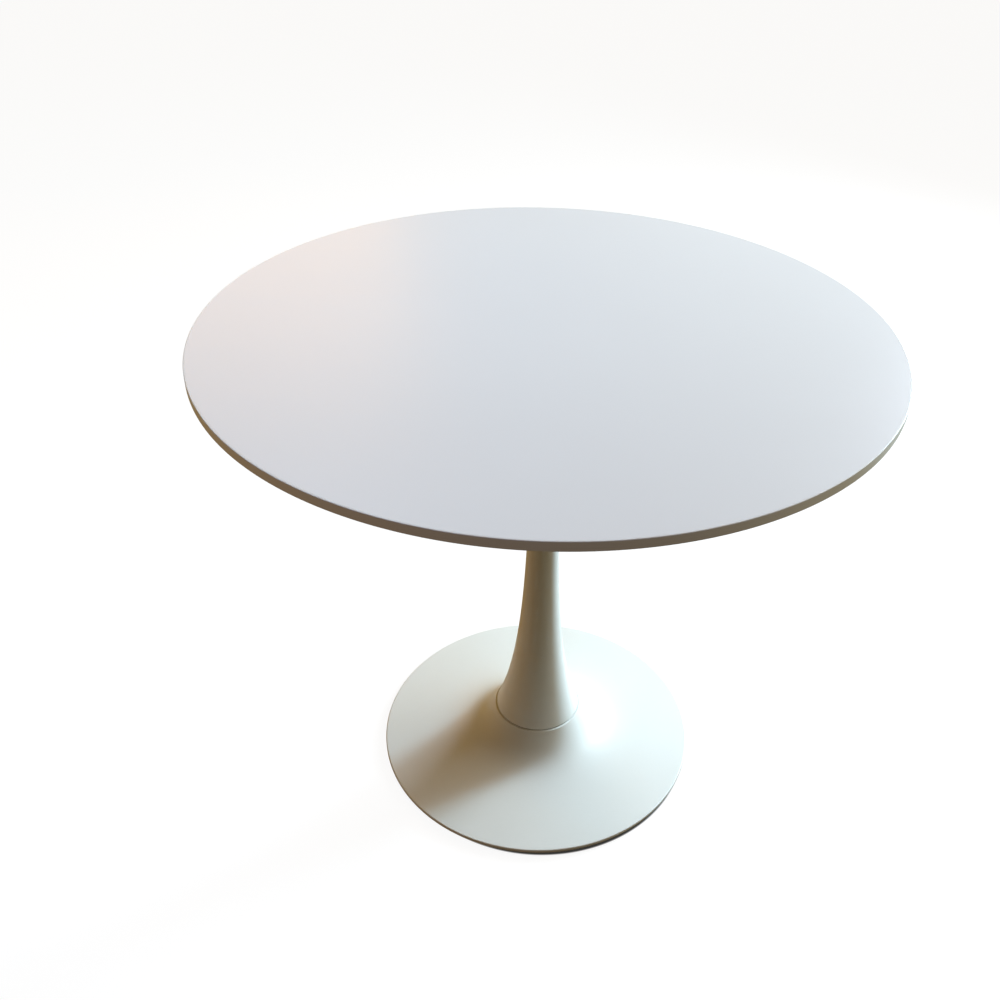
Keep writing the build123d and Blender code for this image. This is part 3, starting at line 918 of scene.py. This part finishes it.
nylon = moulded_nylon()
ball_radius, ball_socket, ball_depth, pad_radius = 3.2 * MM, 3.6 * MM, 2.2 * MM, 15 * MM
m8_radius, m8_pitch, m8_depth, stud_flats, stud_count = 4 * MM, 1.25 * MM, 0.7 * MM, 13 * MM, 72
stud_angle = np.arange(stud_count) * 2 * math.pi / stud_count
collar = np.minimum(
    np.array([ball_radius / MM, 6.1, 6.8, 7.6, 7.6, 6.8, 6.1, m8_radius / MM])[:, None] * MM,
    hexagon(stud_flats, stud_angle),
)
neck = np.array([0, 2.7 * MM, ball_radius])[:, None] + 0 * stud_angle
stud_end = np.array([3.3 * MM, 0])[:, None] + 0 * stud_angle
for number, spot in enumerate(glide_spots, start=1):
    pad_low, pad_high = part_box(f"glide_pad_{number}")
    pad_section = rounded([
        (0, 0.35 * MM, 0),
        (10 * MM, 0.35 * MM, 0.15 * MM),
        (10.4 * MM, 0, 0.15 * MM),
        (pad_radius, 0, 0.7 * MM),
        (pad_radius, 2.4 * MM, 0.6 * MM),
        (11 * MM, pad_high[2], 0.8 * MM),
        (ball_socket, pad_high[2], 0.3 * MM),
        (ball_socket, pad_high[2] - ball_depth, 0.3 * MM),
        (0, pad_high[2] - ball_depth, 0),
    ], steps=5)
    pad = spun(*pad_section.T, 96, spot)
    piece(f"glide_pad_{number}", [pad], f"pad_{number}", nylon)

    stud_low, stud_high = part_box(f"glide_stud_{number}")
    collar_low, collar_high = pad_high[2] + 0.1 * MM, pad_high[2] + 2.9 * MM
    stud_rise = np.arange(collar_high + 0.1 * MM, stud_high[2] - 0.5 * MM, m8_pitch / 10)
    stud_cut = thread(stud_rise, stud_count, m8_pitch, m8_depth, collar_high, stud_high[2] + 0.4 * MM)
    stud_radii = np.concatenate([neck, collar, m8_radius - stud_cut, stud_end])
    stud_levels = np.concatenate([
        [stud_low[2], stud_low[2], stud_low[2] + 0.4 * MM],
        [collar_low, collar_low, collar_low + 0.15 * MM, collar_low + 0.5 * MM],
        [collar_high - 0.5 * MM, collar_high - 0.15 * MM, collar_high, collar_high],
        stud_rise, [stud_high[2], stud_high[2]],
    ])
    stud = spun(stud_radii, stud_levels, stud_count, spot)
    piece(f"glide_stud_{number}", [stud], f"screw_{number}", zinc, 45)

# ==== Floor ======================================================================================
# A plain pale studio floor, not part of the table. It glows evenly, except for a painted shadow, a
# dark disc under the base, a little to the front and right, which keeps the gap below the rim dark.

floor_material, floor_here, floor_shader = new_finish(
    "studio_floor", Base_Color=(0.12, 0.12, 0.12, 1), Roughness=0.9, Specular_IOR_Level=0.1,
    Emission_Strength=0.93)
# Painted shadow: inside this off-centre disc under the base, the floor's glow fades to near black.
painted_shadow_x, painted_shadow_y, painted_shadow_radius = 5.6 * MM, -10.6 * MM, base_radius - 11.5 * MM
floor_across = floor_here.node("VectorMath", {"operation": "MULTIPLY_ADD"}, {
    0: floor_here, 1: (1, 1, 0), 2: (-painted_shadow_x, -painted_shadow_y, 0)})
floor_distance = floor_here.node("VectorMath", {"operation": "LENGTH"}, {0: floor_across}, out=1)
glow_and_painted_shadow = floor_distance.above(painted_shadow_radius, 3 * MM).spread((0.03, 0.03, 0.03), (1, 1, 1))
feed(floor_shader, Emission_Color=glow_and_painted_shadow)
reach = 20
floor_corners = [(-reach, -reach, 0), (reach, -reach, 0), (reach, reach, 0), (-reach, reach, 0)]
floor_mesh = bpy.data.meshes.new("studio_floor")
floor_mesh.from_pydata(floor_corners, [], [(0, 1, 2, 3)])
floor_mesh.materials.append(floor_material)
floor = bpy.data.objects.new("studio_floor", floor_mesh)
bpy.context.collection.objects.link(floor)
floor.visible_diffuse = False
floor.visible_glossy = False

# ==== Light ======================================================================================
# Cool window light from the right and behind, low enough to reach under the top; two soft ceiling
# lights, mostly for the top; a little warm light from the far wall; and a dim brown room all round.


def softbox(name, place, target, size, power, colour):
    """A rectangular studio light that looks from its place towards its target."""
    lamp = bpy.data.lights.new(name, "AREA")
    lamp.shape, lamp.size, lamp.size_y = "RECTANGLE", *size
    lamp.energy, lamp.color = power, colour
    holder = bpy.data.objects.new(name, lamp)
    bpy.context.collection.objects.link(holder)
    away = np.array(place, float) - np.array(target, float)
    away /= np.linalg.norm(away)
    side = np.cross((0, 0, 1), away)
    side /= np.linalg.norm(side)
    up = np.cross(away, side)
    turn = np.eye(4)
    turn[:3, 0], turn[:3, 1], turn[:3, 2], turn[:3, 3] = side, up, away, place
    holder.matrix_world = Matrix(turn.tolist())


softbox("low_window", (2.1, 1.53, 1.0), (0, 0, 0.3), (0.45, 0.45), 81, (0.47, 0.80, 1.0))
softbox("window", (1.93, 1.74, 1.5), (0, 0, 0.3), (1.0, 1.0), 72, (0.80, 0.88, 1.0))
softbox("high_window", (2.44, 0.89, 2.6), (0, 0, 0.7), (1.8, 1.8), 31, (0.92, 1.0, 0.94))
softbox("side_window", (2.6, 0.35, 1.3), (0, 0, 0.7), (1.8, 0.12), 6, (0.8, 0.9, 1.0))
softbox("far_wall", (-1.1, 2.3, 1.7), (0, 0.1, 0.74), (1.2, 1.0), 7.6, (1.0, 0.42, 0.0))
softbox("left_ceiling", (-0.6, 0.3, 1.9), (-0.45, 0.1, 0.74), (0.8, 0.8), 8.2, (0.54, 0.74, 1.0))
softbox("front_ceiling", (0, -1.0, 2.4), (0, -0.3, 0.74), (1.0, 1.0), 4.6, (0.67, 0.67, 1.0))

world = bpy.data.worlds.new("room")
bpy.context.scene.world = world
world.use_nodes = True
sky = Wire(world.node_tree)
background = world.node_tree.nodes["Background"]
seen = sky.node("LightPath", out=0)
direction = sky.node("TexCoord", out=0)
room = (0, 0, 0)
walls = (((1, 0, 0), (0.44, 0.34, 0.16)), ((-1, 0, 0), (0.48, 0.31, 0.15)), ((0, 1, 0), (0.44, 0.28, 0.0)))
for wall_side, wall_colour in walls:
    facing = sky.node("VectorMath", {"operation": "DOT_PRODUCT"}, {0: direction, 1: wall_side}, out=1)
    amount = facing.maths("MAXIMUM", facing, 0.0) ** 2
    room = sky.node("VectorMath", {"operation": "MULTIPLY_ADD"}, {0: amount, 1: wall_colour, 2: room})
pale = (0.93, 0.93, 0.93, 1)
shown = sky.node("Mix", {"data_type": "RGBA"}, {0: seen, 6: room, 7: pale}, out=2)
world.node_tree.links.new(shown.socket, background.inputs["Color"])

# ==== Camera =====================================================================================
# A standing person's view from the front, looking down at 35 degrees with the camera tipped a little.

camera_data = bpy.data.cameras.new("camera")
camera_data.sensor_width = 36
camera_data.lens = 37.59
camera_data.shift_x = -0.0529
camera = bpy.data.objects.new("camera", camera_data)
bpy.context.collection.objects.link(camera)
stand_point = (0, -1.2213, 1.3269)
yaw, pitch, roll = math.radians(0.562), math.radians(34.98), math.radians(2.339)
forward = np.array([math.sin(yaw) * math.cos(pitch), math.cos(yaw) * math.cos(pitch), -math.sin(pitch)])
right = np.array([math.cos(yaw), -math.sin(yaw), 0])
above = np.cross(right, forward)
view = np.eye(4)
view[:3, 0] = math.cos(roll) * right + math.sin(roll) * above
view[:3, 1] = math.cos(roll) * above - math.sin(roll) * right
view[:3, 2] = -forward
view[:3, 3] = stand_point
camera.matrix_world = Matrix(view.tolist())
bpy.context.scene.camera = camera
bpy.context.scene.view_settings.view_transform = "Standard"
